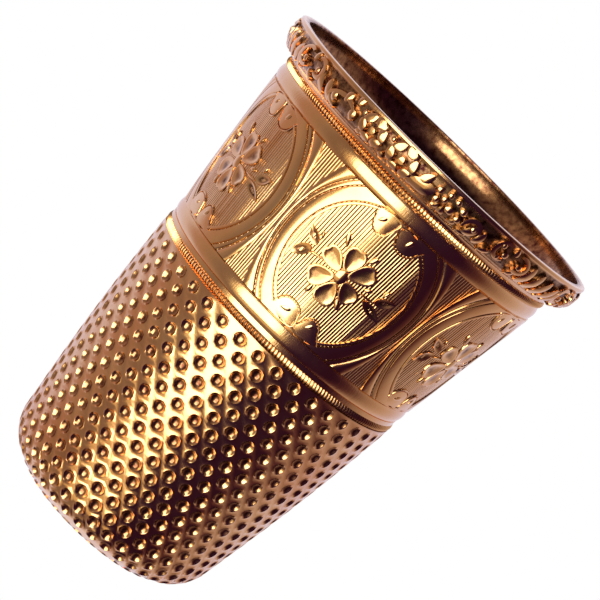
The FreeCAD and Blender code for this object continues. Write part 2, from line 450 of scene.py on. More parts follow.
def dimple_rows(bm, first, rows):
    """Add the skin's grid of cells for some rows, and sink a dimple in each.

    Each row is half a pitch further round than the last. The rings between rows zigzag, so each
    cell reaches above and below its row into the gaps between its neighbours.
    """
    pitch = FULL / DIMPLES_ROUND
    lengths = [(first + k) * ROW_PITCH for k in range(rows + 1)]
    verts, edges = line_of(bm, [Vector((0, -1, length)) for length in lengths])
    bmesh.ops.spin(bm, geom=verts + edges, cent=(0, 0, 0), axis=UP, angle=FULL,
                   steps=DIMPLES_ROUND, use_merge=True)
    level = [e for e in bm.edges if abs(e.verts[0].co.z - e.verts[1].co.z) < ROW_PITCH / 2]
    upright = [e for e in bm.edges if e not in set(level)]
    bmesh.ops.bisect_edges(bm, edges=level, cuts=COLUMN_STEPS - 1)
    bmesh.ops.bisect_edges(bm, edges=upright, cuts=1)
    cells = list(bm.faces)
    spots = []
    for cell in cells:
        middle = cell.calc_center_median()
        side = math.floor(turn_of(middle) / pitch)
        row = middle.z / ROW_PITCH
        spots.append((middle.z, (side + 0.5 + row / 2 - 0.75) * pitch + DIMPLE_TURN))
    for vert in bm.verts:
        length = vert.co.z
        row = length / ROW_PITCH
        side = math.floor(turn_of(vert.co) / pitch + 1e-4)
        part = round((turn_of(vert.co) / pitch - side) * COLUMN_STEPS)
        on_ring = abs(row - round(row)) < 0.1
        if on_ring and round(row) > 0:
            length += {1: 1, 3: -1}.get(part, 0) * ROW_PITCH / 6
        if on_ring and round(row) == 0:
            length -= 0.06 * MM
        turn = (side + part / COLUMN_STEPS + row / 2 - 0.75) * pitch + DIMPLE_TURN
        vert.co = on_skin(length, turn)
    places = []
    for length, turn in spots:
        radius, height, slope = skin(length)
        across = at(1, turn + math.pi / 2, 0)
        along = at(-math.sin(slope), turn, math.cos(slope))
        out = at(math.cos(slope), turn, math.sin(slope))
        places.append((at(radius, turn, height), across, along, out))
    sink_dimples(bm, cells, places)


def skin_depth(point):
    """Return how deep a point lies under the dimpled skin, as a share of a dimple's depth, which
    sets its painted shade.
    """
    radius, height = radius_of(point), point.z
    edge, lean, cone, centre, end, dome_centre = CAP
    if height < WALL_FOOT:
        return INNER_SHADE_AND_DULLING
    if height < edge.y + cone * math.cos(lean):
        depth = (wall_radius(height) - radius) * math.cos(lean)
    elif radius > DOME * math.cos(end):
        depth = SHOULDER - math.hypot(radius - centre.x, height - centre.y)
    else:
        depth = DOME - math.hypot(radius, height - dome_centre)
    if depth > -1.5 * DIMPLE_FLOOR * MM:
        return INNER_SHADE_AND_DULLING
    return -depth / (DIMPLE_FLOOR * MM)


def close_ends(bm):
    """Join the skin's open rings to the open rings of the turned inside."""
    bmesh.ops.remove_doubles(bm, verts=bm.verts, dist=WELD)
    rings = []
    left = {e for e in bm.edges if e.is_boundary}
    while left:
        ring = [left.pop()]
        reach = set(ring[0].verts)
        grown = True
        while grown:
            grown = [e for e in left if reach & set(e.verts)]
            for e in grown:
                left.discard(e)
                reach |= set(e.verts)
            ring += grown
        rings.append(ring)
    rings.sort(key=lambda ring: sum(e.verts[0].co.z for e in ring) / len(ring))
    for low, high in zip(rings[::2], rings[1::2]):
        bmesh.ops.bridge_loops(bm, edges=low + high)


def make_tube(material):
    """Make the tapered tube: dimpled skin, seat under the rings, flared mouth and bore."""
    bm = bmesh.new()
    dimple_rows(bm, 0, WALL_ROWS)
    outside = [(WALL_FOOT_RADIUS, WALL_FOOT), SEAT_HEAD]
    outside += arc_points(FLARE_OUTSIDE, SEAT_FOOT, SEAT_CURVE, 8)[::-1]
    inside = arc_points(FLARE_INSIDE, BORE_FOOT, BORE_CURVE, 8) + [BORE_TOP]
    spun(bm, outside + inside, DIMPLES_ROUND * COLUMN_STEPS, closed=False)
    close_ends(bm)
    make_piece(bm, "thimble_tube", material, "thimble_body", skin_depth)


def make_crown(material):
    """Make the crown: rows of dimples over the shoulder, rings of them on the dome."""
    bm = bmesh.new()
    dimple_rows(bm, WALL_ROWS, CAP_ROWS)
    crown_face(bm)
    inner = [BORE_TOP]
    steps = 24
    for index in range(1, steps + 1):
        radius, height, slope = cap_point(index / steps * (HEIGHT - WALL_TOP + CROWN_PROFILE))
        radius -= CROWN_THICKNESS * math.cos(slope)
        if radius > 0.05 * MM:
            inner.append((radius, height - CROWN_THICKNESS * math.sin(slope)))
    inner.append((0.0, HEIGHT - CROWN_THICKNESS))
    spun(bm, inner, DIMPLES_ROUND * COLUMN_STEPS, closed=False)
    close_ends(bm)
    make_piece(bm, "crown_dome", material, "crown_cap", skin_depth)


CROWN_RINGS = 7
CROWN_SPACING = 0.735 * MM
CROWN_TWIST = 0.37              # how far each ring is turned on the last, in dimples
CROWN_CELL = 0.355 * MM
OUTER_RING = 4.3 * MM           # beyond this the dome has begun to lean over the shoulder
OUTER_LEAN = 0.25


def crown_face(bm):
    """Fill the dome inside the last row of cells, with rings of dimples round a middle one."""
    rim = [e for e in bm.edges if e.is_boundary and min(v.co.z for v in e.verts) > CROWN_RIM]
    flat = bmesh.new()
    loops = []
    copies = {}
    for edge in rim:
        ends = []
        for vert in edge.verts:
            if vert not in copies:
                copies[vert] = flat.verts.new((vert.co.x, vert.co.y, 0))
            ends.append(copies[vert])
        loops.append(flat.edges.new(ends))
    cells = []
    for ring in range(CROWN_RINGS):
        for index in range(max(1, 6 * ring)):
            turn = FULL * (index + CROWN_TWIST * ring) / max(1, 6 * ring)
            spot = at(CROWN_SPACING * ring, turn, 0)
            disc = bmesh.ops.create_circle(flat, cap_ends=True, segments=12, radius=CROWN_CELL,
                                           matrix=Matrix.Translation(spot))
            cells.append(disc["verts"][0].link_faces[0])
            loops += list({e for v in disc["verts"] for e in v.link_edges})
    bmesh.ops.triangle_fill(flat, edges=loops, use_beauty=True, use_dissolve=False,
                            normal=(0, 0, 1))
    for vert in flat.verts:
        vert.co.z = dome_height(radius_of(vert.co))
    for vert, copy in copies.items():
        copy.co = vert.co
    sink_dimples(flat, cells, [place_on_dome(cell) for cell in cells])
    mesh = bpy.data.meshes.new("crown_face")
    flat.to_mesh(mesh)
    flat.free()
    bm.from_mesh(mesh)
    bpy.data.meshes.remove(mesh)


def dome_height(radius):
    """Return the height of the cap's outside at a radius."""
    edge, lean, cone, centre, end, dome_centre = CAP
    if radius > DOME * math.cos(end):
        return centre.y + math.sqrt(SHOULDER ** 2 - (radius - centre.x) ** 2)
    return dome_centre + math.sqrt(DOME ** 2 - radius ** 2)


def place_on_dome(cell):
    """Return the middle of a cell on the dome, and the directions across, along and out."""
    middle = cell.calc_center_median()
    radius = radius_of(middle)
    spot = Vector((middle.x, middle.y, dome_height(radius)))
    out = Vector((middle.x, middle.y, DOME)).normalized()
    if radius > OUTER_RING:
        level = Vector((middle.x, middle.y, 0)).normalized()
        out = level * math.sin(OUTER_LEAN) + UP * math.cos(OUTER_LEAN)
    across = out.orthogonal().normalized()
    return spot, across, out.cross(across), out


# ---------------------------------------------------------------- turned wires

RIM_TEETH = 275
WAIST_TEETH = 241
TOOTH_DEPTH = 0.080 * MM
TOOTH_SLANT = 0.35          # how far round a tooth leans over its height, in teeth
TOOTH_SHAPE = (1.0, 0.48, 0.22, 0.0)    # how deep each step round a tooth is cut


def make_bead(name, node, bottom, top, section, material, beyond=()):
    """Make a half-round bead, and any plain step beyond it, given by its outer points."""
    bm = bmesh.new()
    edge, curve = section
    outside = arc_points((edge, bottom), (edge, top), curve, 10) + list(beyond)
    inner = edge - WIRE_DEPTH
    spun(bm, outside + [(inner, outside[-1][1]), (inner, bottom)], ROUND_STEPS)
    make_piece(bm, name, material, node)


def make_milled_wire(name, node, bottom, top, section, teeth, material):
    """Make a half-round wire cut across with fine teeth."""
    bm = bmesh.new()
    edge, curve = section
    crest = arc_points((edge, bottom), (edge, top), curve, 4)
    spun(bm, crest + [(edge - WIRE_DEPTH, top), (edge - WIRE_DEPTH, bottom)],
         teeth * len(TOOTH_SHAPE))
    middle = (bottom + top) / 2
    for vert in bm.verts:
        radius, turn = radius_of(vert.co), turn_of(vert.co)
        if radius < edge - 0.1 * MM:
            continue
        step = round(turn / FULL * teeth * len(TOOTH_SHAPE)) % len(TOOTH_SHAPE)
        lean = TOOTH_SLANT * FULL / teeth * (vert.co.z - middle) / (top - bottom)
        vert.co = at(radius - TOOTH_DEPTH * TOOTH_SHAPE[step], turn + lean, vert.co.z)

    # painted shade: the gaps between the teeth are darkened by how deep they are cut
    def groove_shade(point):
        share = 2 * (point.z - middle) / (top - bottom)
        crown = edge + curve * 0.35 * (1 - share * share)
        return 0.8 * (crown - radius_of(point)) / TOOTH_DEPTH
    make_piece(bm, name, material, node, groove_shade)


def make_lip(material):
    """Make the rounded wire that finishes the mouth."""
    bm = bmesh.new()
    inner = LIP_RADIUS - LIP_WIDTH
    top = highest("lip_wire")
    outer = arc_points((LIP_RADIUS - LIP_ROUNDING, 0), (LIP_RADIUS, LIP_ROUNDING), LIP_ROUNDING, 5)
    bore = arc_points((inner, LIP_ROUNDING), (inner + LIP_ROUNDING, 0), LIP_ROUNDING, 5)
    spun(bm, bore + outer + [(LIP_RADIUS, top), (inner, top)], ROUND_STEPS)

    # painted shade: the inner side of the lip is darkened towards the bore
    def inside(point):
        return (LIP_RADIUS - 0.13 * MM - radius_of(point)) / (0.12 * MM)
    make_piece(bm, "lip_edge", material, "lip_wire", inside)


# ---------------------------------------------------------------- relief

def stepped(bm, outline, heart, rings, floor, crown):
    """Raise a closed form from an outline, with rings shrunk towards its heart.

    outline is a list of points, floor the depth of its underside, rings pairs of size and
    height, and crown the height at the heart. The form is closed below.
    """
    disc = bmesh.ops.create_circle(bm, cap_ends=True, segments=len(outline), radius=1)["verts"]
    base = disc[0].link_faces[0]
    for vert, point in zip(base.verts, outline):
        vert.co = (point[0], point[1], floor)
    grown = bmesh.ops.extrude_face_region(bm, geom=[base], use_keep_orig=True)
    top = next(item for item in grown["geom"] if isinstance(item, bmesh.types.BMFace))
    for number, (size, height) in enumerate(rings):
        if number:
            bmesh.ops.inset_individual(bm, faces=[top], thickness=0.001)
        for vert, point in zip(top.verts, outline):
            vert.co = (heart[0] + (point[0] - heart[0]) * size,
                       heart[1] + (point[1] - heart[1]) * size, height)
    middle = bmesh.ops.poke(bm, faces=[top])["verts"][0]
    middle.co = (heart[0], heart[1], crown)


def smooth_loop(points, steps=4):
    """Return a smooth closed line through the given points."""
    count = len(points)
    result = []
    for index in range(count):
        before, here, after, beyond = (points[(index + k) % count] for k in (-1, 0, 1, 2))
        for step in range(steps):
            t = step / steps
            result.append(tuple(
                0.5 * (2 * b + (c - a) * t + (2 * a - 5 * b + 4 * c - d) * t * t
                       + (3 * b - a - 3 * c + d) * t ** 3)
                for a, b, c, d in zip(before, here, after, beyond)))
    return result


def leaf_outline(root, angle, length, width, fullness, pointed, notch):
    """Return the outline of a leaf, petal or drop that grows from its root at an angle."""
    angle = math.radians(angle)
    along = (math.cos(angle), math.sin(angle))
    outline = []
    for index in range(OUTLINE_POINTS):
        turn = FULL * index / OUTLINE_POINTS
        t = (1 - math.cos(turn)) / 2
        side = math.sin(turn) * (1 - pointed * abs(math.sin(turn / 2)) ** 6)
        spread = width / 2 * side * (1 - fullness + 2 * fullness * t)
        reach = length * (t - notch * math.exp(-((turn - math.pi) / 0.3) ** 2))
        outline.append((root[0] + along[0] * reach - along[1] * spread,
                        root[1] + along[1] * reach + along[0] * spread))
    heart_at = 0.5 + 0.15 * fullness
    heart = (root[0] + along[0] * length * heart_at, root[1] + along[1] * length * heart_at)
    return outline, heart


# sections of the raised forms: size and lift of each ring from the foot in, and the heart's lift
OUTLINE_POINTS = 16
PETAL = ([(1.0, -0.05), (0.93, 0.045), (0.84, 0.055), (0.70, 0.03), (0.40, -0.005)], -0.015)
CUT_LEAF = ([(1.0, -0.05), (0.90, 0.04), (0.78, 0.03), (0.45, -0.018)], -0.038)
DROP = ([(1.0, -0.05), (0.86, 0.035), (0.55, 0.065)], 0.075)
PLATE = ([(1.0, -0.05), (0.975, 0.03), (0.94, 0.055), (0.90, 0.05), (0.865, -0.036),
          (0.83, -0.036), (0.795, 0.045), (0.45, 0.06)], 0.06)
COMMA = ([(1.0, -0.03), (0.80, -0.02), (0.62, 0.075), (0.35, 0.10)], 0.11)
BOLD_LEAF = ([(1.0, -0.10), (0.88, 0.05), (0.55, 0.08)], 0.10)
BOLD_DROP = ([(1.0, -0.10), (0.84, 0.06), (0.50, 0.11)], 0.125)
ROUND_PETAL = ([(1.0, -0.10), (0.92, 0.055), (0.78, 0.085), (0.40, 0.09)], 0.09)
GROUND = -0.15


def add_leaf(bm, root, angle, length, width, kind, fullness, pointed, notch=0.0):
    """Add a leaf, petal or drop of a kind that grows from its root at an angle."""
    outline, heart = leaf_outline(root, angle, length, width, fullness, pointed, notch)
    stepped(bm, outline, heart, kind[0], GROUND, kind[1])


def wrapped(bm, motif, place):
    """Add a copy of a motif, with every point put in place on its piece."""
    copy = motif.copy()
    for vert in copy.vertices:
        vert.co = place(vert.co)
    bm.from_mesh(copy)
    bpy.data.meshes.remove(copy)


def motif_of(bm, name):
    """Turn a finished bmesh into a plain mesh."""
    bmesh.ops.recalc_face_normals(bm, faces=bm.faces)
    mesh = bpy.data.meshes.new(name)
    bm.to_mesh(mesh)
    bm.free()
    return mesh


# ---------------------------------------------------------------- engraved band

CARTOUCHES = 6
CARTOUCHE_TURN = math.radians(5.5)
LINES_PER_CARTOUCHE = 57
LINE_STEPS = (0.0, 0.0, 1.0, 0.0)
LINE_DEPTH = 0.0118 * MM
LINED_GROUND = 0.045 * MM       # how far the lined ground lies below the frames
BAND_MIDDLE = (RIM_BEAD_TOP + BAND_TOP) / 2
BAND_MIDDLE_RADIUS = (BAND_FOOT_RADIUS + BAND_HEAD_RADIUS) / 2
HALF_BAND = (BAND_TOP - RIM_BEAD_TOP) / 2 / MM
FRAME_STEPS = [         # half width, half height and lift of the oval frame, from inside out
    (2.96, 3.42, -0.12), (2.98, 3.44, 0.035), (3.03, 3.50, 0.05), (3.08, 3.56, 0.045),
    (3.125, 3.615, -0.037), (3.17, 3.67, 0.045), (3.24, 3.77, 0.055), (3.44, 4.02, 0.058),
    (3.61, 4.25, 0.052), (3.66, 4.32, 0.045), (3.705, 4.38, -0.037), (3.75, 4.44, 0.045),
    (3.81, 4.53, 0.05), (3.87, 4.62, 0.04), (3.91, 4.70, -0.037), (3.95, 4.90, 0.035),
    (3.99, 5.30, 0.05), (4.04, 6.10, 0.045), (4.07, 6.50, 0.02), (4.09, 6.70, -0.12),
]
FLOWER = [              # root, angle, length, width of each petal
    ((-0.20, 0.06), 96, 1.44, 1.02), ((0.00, 0.02), 45, 1.48, 0.98),
    ((0.05, -0.16), -34, 1.26, 0.94), ((-0.14, -0.44), -88, 1.42, 1.06),
    ((-0.36, -0.28), -139, 1.46, 1.00), ((-0.34, -0.06), 157, 1.42, 0.92),
]
BUDS = [                # root, angle, length, width of each bud and tendril
    ((-0.90, 0.98), 122, 0.76, 0.28), ((0.28, 1.16), 66, 0.50, 0.26),
    ((-0.84, -1.24), -94, 0.56, 0.28), ((0.40, -0.98), -50, 0.62, 0.30),
    ((0.98, 0.14), 20, 0.42, 0.24), ((-1.94, 0.48), 121, 0.36, 0.17),
    ((1.83, 0.48), 68, 0.38, 0.20), ((-1.25, -0.13), -166, 0.90, 0.14),
    ((0.86, -0.12), 4, 0.92, 0.13),
]
SPRAYS = [              # root, angle, length, width of each leaf
    ((-1.94, 0.04), 143, 1.00, 0.54), ((-2.04, -0.10), -127, 1.10, 0.60),
    ((1.70, 0.00), 32, 1.06, 0.58), ((1.28, -0.24), -16, 1.44, 0.50),
]
VOLUTES = [             # outline and heart of each lobe, round the frame's two ends
    ([(-1.12, 3.52), (-1.02, 2.86), (-0.76, 2.46), (-0.38, 2.36), (-0.07, 2.52), (0.04, 2.9),
      (0.08, 3.52)], (-0.48, 2.98)),
    ([(0.20, 3.52), (0.26, 2.88), (0.53, 2.46), (0.97, 2.36), (1.36, 2.52), (1.58, 2.88),
      (1.72, 3.52)], (0.92, 2.98)),
    ([(-1.76, -3.52), (-1.66, -2.88), (-1.36, -2.46), (-0.90, -2.36), (-0.42, -2.52),
      (-0.22, -2.88), (-0.19, -3.52)], (-0.92, -2.98)),
    ([(-0.09, -3.52), (-0.06, -2.94), (0.19, -2.50), (0.50, -2.37), (0.86, -2.58), (1.10, -2.96),
      (1.50, -3.52)], (0.50, -2.98)),
]
COMMAS = [              # root, angle, length and width of the comma in each lobe
    ((-0.86, 2.80), 50, 0.66, 0.34), ((0.76, 2.74), 62, 0.70, 0.36),
    ((-1.40, -3.12), 20, 0.86, 0.36), ((0.22, -3.12), 48, 0.66, 0.34),
]


def on_band(turn):
    """Return the function that puts a flat point on the band, its middle at a turn."""
    taper = (BAND_FOOT_RADIUS - BAND_HEAD_RADIUS) / (BAND_TOP - RIM_BEAD_TOP)

    def place(flat):
        height = BAND_MIDDLE - flat.y * MM
        radius = BAND_MIDDLE_RADIUS - taper * (height - BAND_MIDDLE) + (flat.z - 0.02) * MM
        return at(radius, turn + flat.x * MM / BAND_MIDDLE_RADIUS, height)
    return place


def add_oval(bm, steps, segments=144):
    """Add a closed moulding that runs round an oval, cut off at the band's two edges."""
    ring = bmesh.new()
    half, tall, lift = steps[0]
    bmesh.ops.create_circle(ring, cap_ends=False, segments=segments, radius=1)
    edges = list(ring.edges)
    bmesh.ops.scale(ring, vec=(half, tall, 1), verts=ring.verts)
    bmesh.ops.translate(ring, vec=(0, 0, lift), verts=ring.verts)
    for after in steps[1:] + steps[:1]:
        edges, verts = carried_on(ring, edges)
        bmesh.ops.scale(ring, vec=(after[0] / half, after[1] / tall, 1), verts=verts)
        bmesh.ops.translate(ring, vec=(0, 0, after[2] - lift), verts=verts)
        half, tall, lift = after
    bmesh.ops.remove_doubles(ring, verts=ring.verts, dist=0.0005)
    for side in (1, -1):
        bmesh.ops.bisect_plane(ring, geom=list(ring.verts) + list(ring.edges) + list(ring.faces),
                               plane_co=(0, side * HALF_BAND, 0), plane_no=(0, side, 0),
                               clear_outer=True)
        bmesh.ops.holes_fill(ring, edges=[e for e in ring.edges if e.is_boundary], sides=0)
    mesh = motif_of(ring, "oval")
    bm.from_mesh(mesh)
    bpy.data.meshes.remove(mesh)


def band_motif():
    """Return the mesh of one cartouche, laid out flat in millimetres."""
    bm = bmesh.new()
    add_oval(bm, FRAME_STEPS)
    for root, angle, length, width in FLOWER:
        add_leaf(bm, root, angle, length, width, PETAL, fullness=0.42, pointed=0.1, notch=0.09)
    add_leaf(bm, (-0.52, -0.17), 0, 0.70, 0.78, BOLD_DROP, fullness=0.0, pointed=0.0)
    for root, angle, length, width in BUDS:
        add_leaf(bm, root, angle, length, width, DROP, fullness=0.35, pointed=0.3)
    for root, angle, length, width in SPRAYS:
        add_leaf(bm, root, angle, length, width, CUT_LEAF, fullness=0.05, pointed=0.6)
    for points, heart in VOLUTES:
        clipped = [(u, max(-HALF_BAND + 0.01, min(HALF_BAND - 0.01, v))) for u, v in points]
        stepped(bm, smooth_loop(clipped), heart, PLATE[0], GROUND, PLATE[1])
    for root, angle, length, width in COMMAS:
        add_leaf(bm, root, angle, length, width, COMMA, fullness=0.4, pointed=0.2)
    return motif_of(bm, "cartouche")


def band_depth(point):
    """Return how deep a point of the band lies, from 0 on a land to 1 in a cut line; this sets the
    painted shade in the cut lines.
    """
    share = (point.z - RIM_BEAD_TOP) / (BAND_TOP - RIM_BEAD_TOP)
    face = BAND_FOOT_RADIUS + (BAND_HEAD_RADIUS - BAND_FOOT_RADIUS) * share
    depth = face - radius_of(point)
    if depth > 0.95 * LINED_GROUND:
        return 0.8 * (depth - LINED_GROUND) / LINE_DEPTH
    return (depth - 0.01 * MM) / (0.025 * MM)


def make_band(material):
    """Make the band: a sleeve ruled with fine upright lines, and six engraved cartouches."""
    bm = bmesh.new()
    lines = CARTOUCHES * LINES_PER_CARTOUCHE
    rows = 8
    outer = []
    for row in range(rows + 1):
        share = row / rows
        radius = BAND_FOOT_RADIUS + (BAND_HEAD_RADIUS - BAND_FOOT_RADIUS) * share
        outer.append((radius - LINED_GROUND, RIM_BEAD_TOP + (BAND_TOP - RIM_BEAD_TOP) * share))
    inner = [(r - 0.2 * MM, z) for r, z in (outer[-1], outer[0])]
    spun(bm, outer + inner, lines * len(LINE_STEPS))
    for edge in bm.edges:
        edge.smooth = abs(edge.verts[0].co.z - edge.verts[1].co.z) < 0.1 * MM
    for vert in bm.verts:
        radius, turn, height = radius_of(vert.co), turn_of(vert.co), vert.co.z
        share = (height - RIM_BEAD_TOP) / (BAND_TOP - RIM_BEAD_TOP)
        face = BAND_FOOT_RADIUS + (BAND_HEAD_RADIUS - BAND_FOOT_RADIUS) * share - LINED_GROUND
        if abs(radius - face) > 0.02 * MM:
            continue
        step = round(turn / FULL * lines * len(LINE_STEPS))
        stray = noise.noise(Vector((step // 4 * 1.7, share * 2.5, 3.0)))
        depth = LINE_DEPTH * LINE_STEPS[step % len(LINE_STEPS)] * (1 + 0.5 * stray)
        vert.co = at(radius - depth, turn + stray * 0.012 * MM / radius, height)
    motif = band_motif()
    for index in range(CARTOUCHES):
        wrapped(bm, motif, on_band(CARTOUCHE_TURN + FULL * index / CARTOUCHES))
    bpy.data.meshes.remove(motif)
    make_piece(bm, "band_cartouches", material, "engraved_band", band_depth)


# ---------------------------------------------------------------- chased collar

COLLAR_FOOT = (9.28 * MM, lowest("rim_collar"))
COLLAR_NECK = (8.42 * MM, 1.65 * MM)
COLLAR_INSIDE = (8.24 * MM, COLLAR_NECK[1])
COLLAR_CURVE = 1.40 * MM
COLLAR_REPEATS = 3
RIB = (0.17, 0.08)              # half breadth and rise of a scroll's rib
LEAF_SPREAD = 1.25              # leaves are this much broader than listed, and drops
DROP_SPREAD = 1.2               # and beads this much longer and broader
ROSETTE_PETALS = 6
COLLAR_SINK = 0.12 * MM         # how far the collar's ground lies below its relief
COLLAR_LEAN = 0.22 * MM         # how far the relief stands up more at the neck than at the foot
ROSETTES = [(-3.00, 0.16, 0.80), (-1.10, 0.16, 0.86)]   # middle and radius of each rosette
SCROLLS = [             # middle, radius, first angle and sweep of each scroll's rib
    ((5.25, 0.22), 0.62, 70, 240), ((6.45, 0.20), 0.55, 110, -230),
    ((-4.50, -0.80), 1.75, 160, -85), ((-8.80, 0.15), 0.62, 60, 250),
    ((-7.45, 0.20), 0.58, 120, -240), ((3.35, 0.10), 0.55, 200, -200),
]
COLLAR_LEAVES = [       # root, angle, length, width of each leaf
    ((-0.48, -0.55), 30, 1.75, 0.86), ((0.05, -0.05), 62, 0.95, 0.46),
    ((3.05, -0.60), 62, 1.30, 0.44), ((2.75, -0.75), 28, 0.75, 0.36),
    ((3.80, -0.55), 80, 1.05, 0.36), ((4.25, -0.75), 50, 0.80, 0.36),
    ((7.15, -0.75), 80, 1.60, 0.46), ((7.75, -0.75), 72, 1.62, 0.46),
    ((8.40, -0.75), 64, 1.62, 0.48), ((9.10, -0.75), 58, 1.60, 0.46),
    ((-6.60, -0.75), 112, 1.60, 0.46), ((-6.05, -0.75), 100, 1.35, 0.42),
    ((-5.55, -0.80), 125, 0.95, 0.38), ((-9.55, -0.75), 78, 1.50, 0.44),
    ((1.75, -0.80), 100, 0.80, 0.36), ((1.15, -0.80), 70, 0.80, 0.34),
    ((2.35, -0.80), 80, 0.75, 0.32), ((-2.05, -0.85), 90, 0.62, 0.34),
    ((-3.75, -0.80), 60, 0.70, 0.34), ((6.45, -0.80), 80, 0.70, 0.34),
    ((-8.00, -0.80), 95, 0.75, 0.36), ((-8.10, 0.40), 80, 0.50, 0.30),
    ((5.85, 0.45), 88, 0.45, 0.26),
]
COLLAR_DROPS = [        # root, angle, length, width of each drop
    ((-5.72, -0.36), 82, 0.56, 0.36), ((-5.00, 0.12), 78, 0.58, 0.36),
    ((-4.34, 0.50), 80, 0.44, 0.34), ((-4.30, -0.48), 88, 0.66, 0.38),
]
COLLAR_BEADS = [        # place and breadth of each bead
    (0.82, 0.48, 0.34), (1.38, 0.62, 0.30), (1.85, 0.60, 0.30), (2.28, 0.42, 0.32),
    (1.68, 0.00, 0.42), (0.95, -0.02, 0.32), (1.28, 0.26, 0.30), (1.05, -0.42, 0.30),
    (2.30, -0.10, 0.34), (4.86, 0.58, 0.28), (5.22, 0.22, 0.32), (5.00, -0.12, 0.28),
    (6.32, 0.18, 0.30), (-8.96, 0.14, 0.32), (-7.60, 0.20, 0.30), (3.22, 0.12, 0.28),
    (-3.95, 0.55, 0.26), (-2.15, 0.62, 0.26),
]
COLLAR_CENTRE = arc_centre(COLLAR_FOOT, COLLAR_NECK, COLLAR_CURVE)


def collar_depth(point):
    """Return how deep a point lies under the collar's relief, from 0 to 1 at its ground; this sets
    the painted shade on the ground.
    """
    if point.z > COLLAR_NECK[1] + 0.02 * MM:
        return 0.0
    reach = math.hypot(radius_of(point) - COLLAR_CENTRE.x, point.z - COLLAR_CENTRE.y)
    return 1.4 * (COLLAR_CURVE - reach) / COLLAR_SINK


def on_collar(turn):
    """Return the function that puts a flat point on the flared collar."""
    centre = COLLAR_CENTRE
    chord_middle = (Vector(COLLAR_FOOT) + Vector(COLLAR_NECK)) / 2
    middle = math.atan2(chord_middle.y - centre.y, chord_middle.x - centre.x)

    def place(flat):
        angle = middle - flat.y * MM / COLLAR_CURVE
        lean = COLLAR_LEAN * max(0.0, min(1.0, (0.8 - flat.y) / 1.5)) if flat.z > -0.09 else 0.0
        reach = COLLAR_CURVE + (flat.z - 0.05) * MM
        radius = centre.x + reach * math.cos(angle) + lean
        return at(radius, turn + flat.x * MM / COLLAR_FOOT[0], centre.y + reach * math.sin(angle))
    return place


def add_rib(bm, middle, radius, first, sweep):
    """Add a scroll: a half-round rib that curls in towards its end."""
    width, rise = RIB
    steps = max(8, int(abs(sweep) / 14))
    section = [(-width, GROUND), (-width, -0.08), (-width * 0.65, rise), (0, rise + 0.02),
               (width * 0.65, rise), (width, -0.08), (width, GROUND)]
    verts = []
    for step in range(steps + 1):
        share = step / steps
        angle = math.radians(first + sweep * share)
        bend = radius * (1 - 0.45 * share)
        slim = 1 - 0.45 * abs(2 * share - 1) ** 3
        verts.append([bm.verts.new((middle[0] + (bend + across * slim) * math.cos(angle),
                                    middle[1] + (bend + across * slim) * math.sin(angle), lift))
                      for across, lift in section])
    rails = []
    for row in verts:
        rails.append([bm.edges.new((row[k], row[(k + 1) % len(row)])) for k in range(len(row))])
    for before, after in zip(rails, rails[1:]):
        bmesh.ops.bridge_loops(bm, edges=before + after)
    for end in (rails[0], rails[-1]):
        bmesh.ops.contextual_create(bm, geom=end)


def add_rosette(bm, middle, radius):
    """Add a rosette: a broad ring of round petals about a raised boss."""
    for index in range(ROSETTE_PETALS):
        angle = 360 * index / ROSETTE_PETALS + 15
        root = (middle[0] + 0.40 * radius * math.cos(math.radians(angle)),
                middle[1] + 0.40 * radius * math.sin(math.radians(angle)))
        add_leaf(bm, root, angle, 0.62 * radius, 0.92 * radius, ROUND_PETAL, fullness=0.3,
                 pointed=0.0)
    add_leaf(bm, (middle[0] - 0.27 * radius, middle[1]), 0, 0.54 * radius, 0.54 * radius,
             ROUND_PETAL, fullness=0.0, pointed=0.0)


def collar_motif():
    """Return the mesh of one repeat of the collar's chasing, laid out flat in millimetres."""
    bm = bmesh.new()
    for across, along, radius in ROSETTES:
        add_rosette(bm, (across, along), radius)
    for middle, radius, first, sweep in SCROLLS:
        add_rib(bm, middle, radius, first, sweep)
    for root, angle, length, width in COLLAR_LEAVES:
        add_leaf(bm, root, angle, length, width * LEAF_SPREAD, BOLD_LEAF, 0.1, 0.5)
    beads = [((across, along), 0, breadth, breadth) for across, along, breadth in COLLAR_BEADS]
    for root, angle, length, width in COLLAR_DROPS + beads:
        add_leaf(bm, root, angle, length * DROP_SPREAD, width * DROP_SPREAD, BOLD_DROP, 0.2, 0.0)
    return motif_of(bm, "collar_motif")


def make_collar(material):
    """Make the flared collar, with scrolls, rosettes, leaves and beads chased all round."""
    bm = bmesh.new()
    centre = COLLAR_CENTRE
    face = []
    for radius, height in arc_points(COLLAR_FOOT, COLLAR_NECK, COLLAR_CURVE, 16):
        share = (height - COLLAR_FOOT[1]) / (COLLAR_NECK[1] - COLLAR_FOOT[1])
        sunk = COLLAR_SINK * min(1.0, 9 * share, 7 * (1 - share))
        shrink = 1 - sunk / COLLAR_CURVE
        face.append((centre.x + (radius - centre.x) * shrink,
                     centre.y + (height - centre.y) * shrink))
    under = arc_points((FLARE_OUTSIDE[0], COLLAR_FOOT[1]), COLLAR_INSIDE, SEAT_CURVE, 8)[::-1]
    edge = [(COLLAR_NECK[0] - 0.06 * MM, COLLAR_TOP), (COLLAR_INSIDE[0] - 0.01 * MM, COLLAR_TOP)]
    spun(bm, face + edge + under, ROUND_STEPS)
    motif = collar_motif()
    for index in range(COLLAR_REPEATS):
        wrapped(bm, motif, on_collar(FULL * index / COLLAR_REPEATS))
    bpy.data.meshes.remove(motif)
    make_piece(bm, "collar_chasing", material, "rim_collar", collar_depth)


# ---------------------------------------------------------------- camera, light, floor

